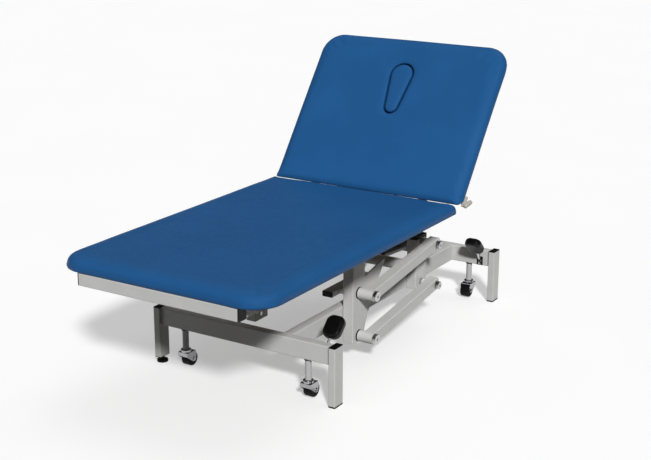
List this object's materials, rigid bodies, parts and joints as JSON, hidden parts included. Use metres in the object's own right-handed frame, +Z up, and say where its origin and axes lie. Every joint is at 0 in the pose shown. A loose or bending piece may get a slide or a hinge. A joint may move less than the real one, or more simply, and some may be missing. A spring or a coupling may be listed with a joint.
{
  "type": "medical exam table",
  "caption": "Low wide two-section exam couch on a parallel-arm lift frame, with a raising back section, breathing opening with plug, and pedal-lowered castors.",
  "frame": {"origin": "on the floor under the centre of the overall box, back section raised as stored", "axes": "+Z up, +Y towards the head end, +X towards the side with the foot pedals"},
  "size_m": [0.7988, 1.6571, 1.0051],
  "materials": {
    "frame_paint": "satin powder coat",
    "black_plastic": "satin",
    "zinc_steel": "satin",
    "chrome": "polished",
    "tyre_rubber": "matt",
    "pedal_rubber": "satin",
    "bush_polymer": "matt",
    "actuator_grey": "satin",
    "plywood": "plain",
    "vinyl_blue": "fine-grained vinyl-coated upholstery fabric"
  },
  "bodies": {
    "base": {"legs": "frame_paint", "base_tube_caps": "black_plastic", "leg_foot_inserts": "black_plastic", "foot_cross_member": "frame_paint", "head_cross_member": "frame_paint", "base_rails": "frame_paint", "fixed_posts": "frame_paint", "fixed_pivot_bolts": "zinc_steel", "fixed_pivot_spacers": "zinc_steel", "actuator_clevis": "frame_paint", "base_pivot_pins": "zinc_steel", "guide_bushes": "black_plastic"},
    "levelling_glide": {"levelling_glide": "black_plastic"},
    "lower_arm_near": {"lower_arm_near": "frame_paint", "lower_arm_bushes_near": "bush_polymer"},
    "lower_arm_far": {"lower_arm_far": "frame_paint", "lower_arm_bushes_far": "bush_polymer"},
    "upper_arms": {"upper_arms": "frame_paint", "upper_arm_bushes": "bush_polymer", "arm_link_tube": "frame_paint"},
    "actuator_body": {"actuator_housing": "actuator_grey", "actuator_motor": "black_plastic"},
    "actuator_rod": {"actuator_rod": "chrome"},
    "carriage_foot": {"castor_carriage_foot": "zinc_steel"},
    "carriage_head": {"castor_carriage_head": "zinc_steel"},
    "pedal_foot": {"pedal_lever_foot": "zinc_steel", "pedal_pad_foot": "pedal_rubber"},
    "pedal_head": {"pedal_lever_head": "zinc_steel", "pedal_pad_head": "pedal_rubber"},
    "top_frame": {"top_foot_rail": "frame_paint", "top_head_rail": "frame_paint", "top_side_rails": "frame_paint", "top_mid_rail": "frame_paint", "top_frame_caps": "black_plastic", "moving_posts": "frame_paint", "moving_post_braces": "frame_paint", "moving_pivot_bolts": "zinc_steel", "moving_pivot_rings": "black_plastic", "seat_board": "plywood", "seat_cushion": "vinyl_blue", "head_rail_brackets": "frame_paint", "head_rail_pins": "zinc_steel", "control_box": "black_plastic"},
    "strut_cylinder": {"strut_cylinder": "actuator_grey"},
    "strut_rod": {"strut_rod": "chrome"},
    "back_section": {"back_cushion": "vinyl_blue", "back_board": "plywood", "back_side_tubes": "frame_paint", "back_cross_tubes": "frame_paint", "release_bracket": "frame_paint"},
    "breather_plug": {"breather_plug": "vinyl_blue"},
    "release_lever": {"release_lever": "zinc_steel"},
    "fork_foot_near": {"castor_fork_foot_near": "chrome"},
    "wheel_foot_near": {"castor_wheel_foot_near": "tyre_rubber"},
    "fork_foot_far": {"castor_fork_foot_far": "chrome"},
    "wheel_foot_far": {"castor_wheel_foot_far": "tyre_rubber"},
    "fork_head_near": {"castor_fork_head_near": "chrome"},
    "wheel_head_near": {"castor_wheel_head_near": "tyre_rubber"},
    "fork_head_far": {"castor_fork_head_far": "chrome"},
    "wheel_head_far": {"castor_wheel_head_far": "tyre_rubber"}
  },
  "joints": [
    {"name": "lift", "type": "hinge", "parent": "base", "child": "lower_arm_near", "pos_m": [0.2, 0.448, 0.155], "axis": [-1, 0, 0], "range_deg": [-3.4, 52.6]},
    {"name": "lift_lower_far", "type": "hinge", "parent": "base", "child": "lower_arm_far", "pos_m": [-0.2, 0.448, 0.155], "axis": [-1, 0, 0], "range_deg": [-3.4, 52.6]},
    {"name": "lift_upper", "type": "hinge", "parent": "base", "child": "upper_arms", "pos_m": [0, 0.448, 0.31], "axis": [-1, 0, 0], "range_deg": [-3.4, 52.6]},
    {"name": "top_level", "type": "hinge", "parent": "lower_arm_near", "child": "top_frame", "pos_m": [0.2, -0.009, 0.094], "axis": [-1, 0, 0], "range_deg": [-52.6, 3.4]},
    {"name": "actuator_swing", "type": "hinge", "parent": "base", "child": "actuator_body", "pos_m": [0, 0.735, 0.19], "axis": [-1, 0, 0], "range_deg": [-0.36, 5.43]},
    {"name": "actuator_extend", "type": "slide", "parent": "actuator_body", "child": "actuator_rod", "axis": [0, -0.9976, 0.0688], "range_m": [-0.0055, 0.0837]},
    {"name": "back_tilt", "type": "hinge", "parent": "top_frame", "child": "back_section", "pos_m": [0, 0.4079, 0.4706], "axis": [1, 0, 0], "range_deg": [-53.24, 11.76]},
    {"name": "strut_swing", "type": "hinge", "parent": "top_frame", "child": "strut_cylinder", "pos_m": [0.1, 0.34, 0.32], "axis": [1, 0, 0], "range_deg": [-27.9, 6.2]},
    {"name": "strut_extend", "type": "slide", "parent": "strut_cylinder", "child": "strut_rod", "axis": [0, 0.6581, 0.753], "range_m": [-0.0705, 0.0157]},
    {"name": "plug_lift_out", "type": "slide", "parent": "back_section", "child": "breather_plug", "axis": [0, -0.8011, 0.5985], "range_m": [0, 0.07]},
    {"name": "release_squeeze", "type": "hinge", "parent": "back_section", "child": "release_lever", "pos_m": [0.26, 0.47297, 0.50064], "axis": [0, -0.5985, -0.8011], "range_deg": [0, 5], "stiffness_Nm_per_rad": 6, "springref_deg": -8.59},
    {"name": "glide_turn", "type": "hinge", "parent": "base", "child": "levelling_glide", "pos_m": [-0.3515, -0.3693, 0], "axis": [0, 0, 1], "continuous": true},
    {"name": "carriage_foot_drop", "type": "slide", "parent": "base", "child": "carriage_foot", "axis": [0, 0, -1], "range_m": [0, 0.01]},
    {"name": "pedal_foot_press", "type": "hinge", "parent": "base", "child": "pedal_foot", "pos_m": [0.301, -0.3682, 0.158], "axis": [-1, 0, 0], "range_deg": [0, 49.4]},
    {"name": "swivel_foot_near", "type": "hinge", "parent": "carriage_foot", "child": "fork_foot_near", "pos_m": [0.248, -0.3682, 0.08], "axis": [0, 0, 1], "continuous": true},
    {"name": "roll_foot_near", "type": "hinge", "parent": "fork_foot_near", "child": "wheel_foot_near", "pos_m": [0.248, -0.3502, 0.028], "axis": [1, 0, 0], "continuous": true},
    {"name": "swivel_foot_far", "type": "hinge", "parent": "carriage_foot", "child": "fork_foot_far", "pos_m": [-0.248, -0.3682, 0.08], "axis": [0, 0, 1], "continuous": true},
    {"name": "roll_foot_far", "type": "hinge", "parent": "fork_foot_far", "child": "wheel_foot_far", "pos_m": [-0.248, -0.3502, 0.028], "axis": [1, 0, 0], "continuous": true},
    {"name": "carriage_head_drop", "type": "slide", "parent": "base", "child": "carriage_head", "axis": [0, 0, -1], "range_m": [0, 0.01]},
    {"name": "pedal_head_press", "type": "hinge", "parent": "base", "child": "pedal_head", "pos_m": [0.301, 0.8024, 0.158], "axis": [1, 0, 0], "range_deg": [0, 49.4]},
    {"name": "swivel_head_near", "type": "hinge", "parent": "carriage_head", "child": "fork_head_near", "pos_m": [0.248, 0.8024, 0.08], "axis": [0, 0, 1], "continuous": true},
    {"name": "roll_head_near", "type": "hinge", "parent": "fork_head_near", "child": "wheel_head_near", "pos_m": [0.248, 0.7844, 0.028], "axis": [1, 0, 0], "continuous": true},
    {"name": "swivel_head_far", "type": "hinge", "parent": "carriage_head", "child": "fork_head_far", "pos_m": [-0.248, 0.8024, 0.08], "axis": [0, 0, 1], "continuous": true},
    {"name": "roll_head_far", "type": "hinge", "parent": "fork_head_far", "child": "wheel_head_far", "pos_m": [-0.248, 0.7844, 0.028], "axis": [1, 0, 0], "continuous": true}
  ],
  "couplings": [
    {"joint": "lift_lower_far", "follows": "lift", "ratio": 1},
    {"joint": "lift_upper", "follows": "lift", "ratio": 1},
    {"joint": "top_level", "follows": "lift", "ratio": -1},
    {"joint": "actuator_swing", "follows": "lift", "ratio": 0.1031},
    {"joint": "actuator_extend", "follows": "lift", "m_per_rad": 0.09103},
    {"joint": "strut_swing", "follows": "back_tilt", "ratio": 0.5235},
    {"joint": "strut_extend", "follows": "back_tilt", "m_per_rad": 0.07575},
    {"joint": "pedal_foot_press", "follows": "carriage_foot_drop", "rad_per_m": 86.06},
    {"joint": "pedal_head_press", "follows": "carriage_head_drop", "rad_per_m": 86.06}
  ]
}
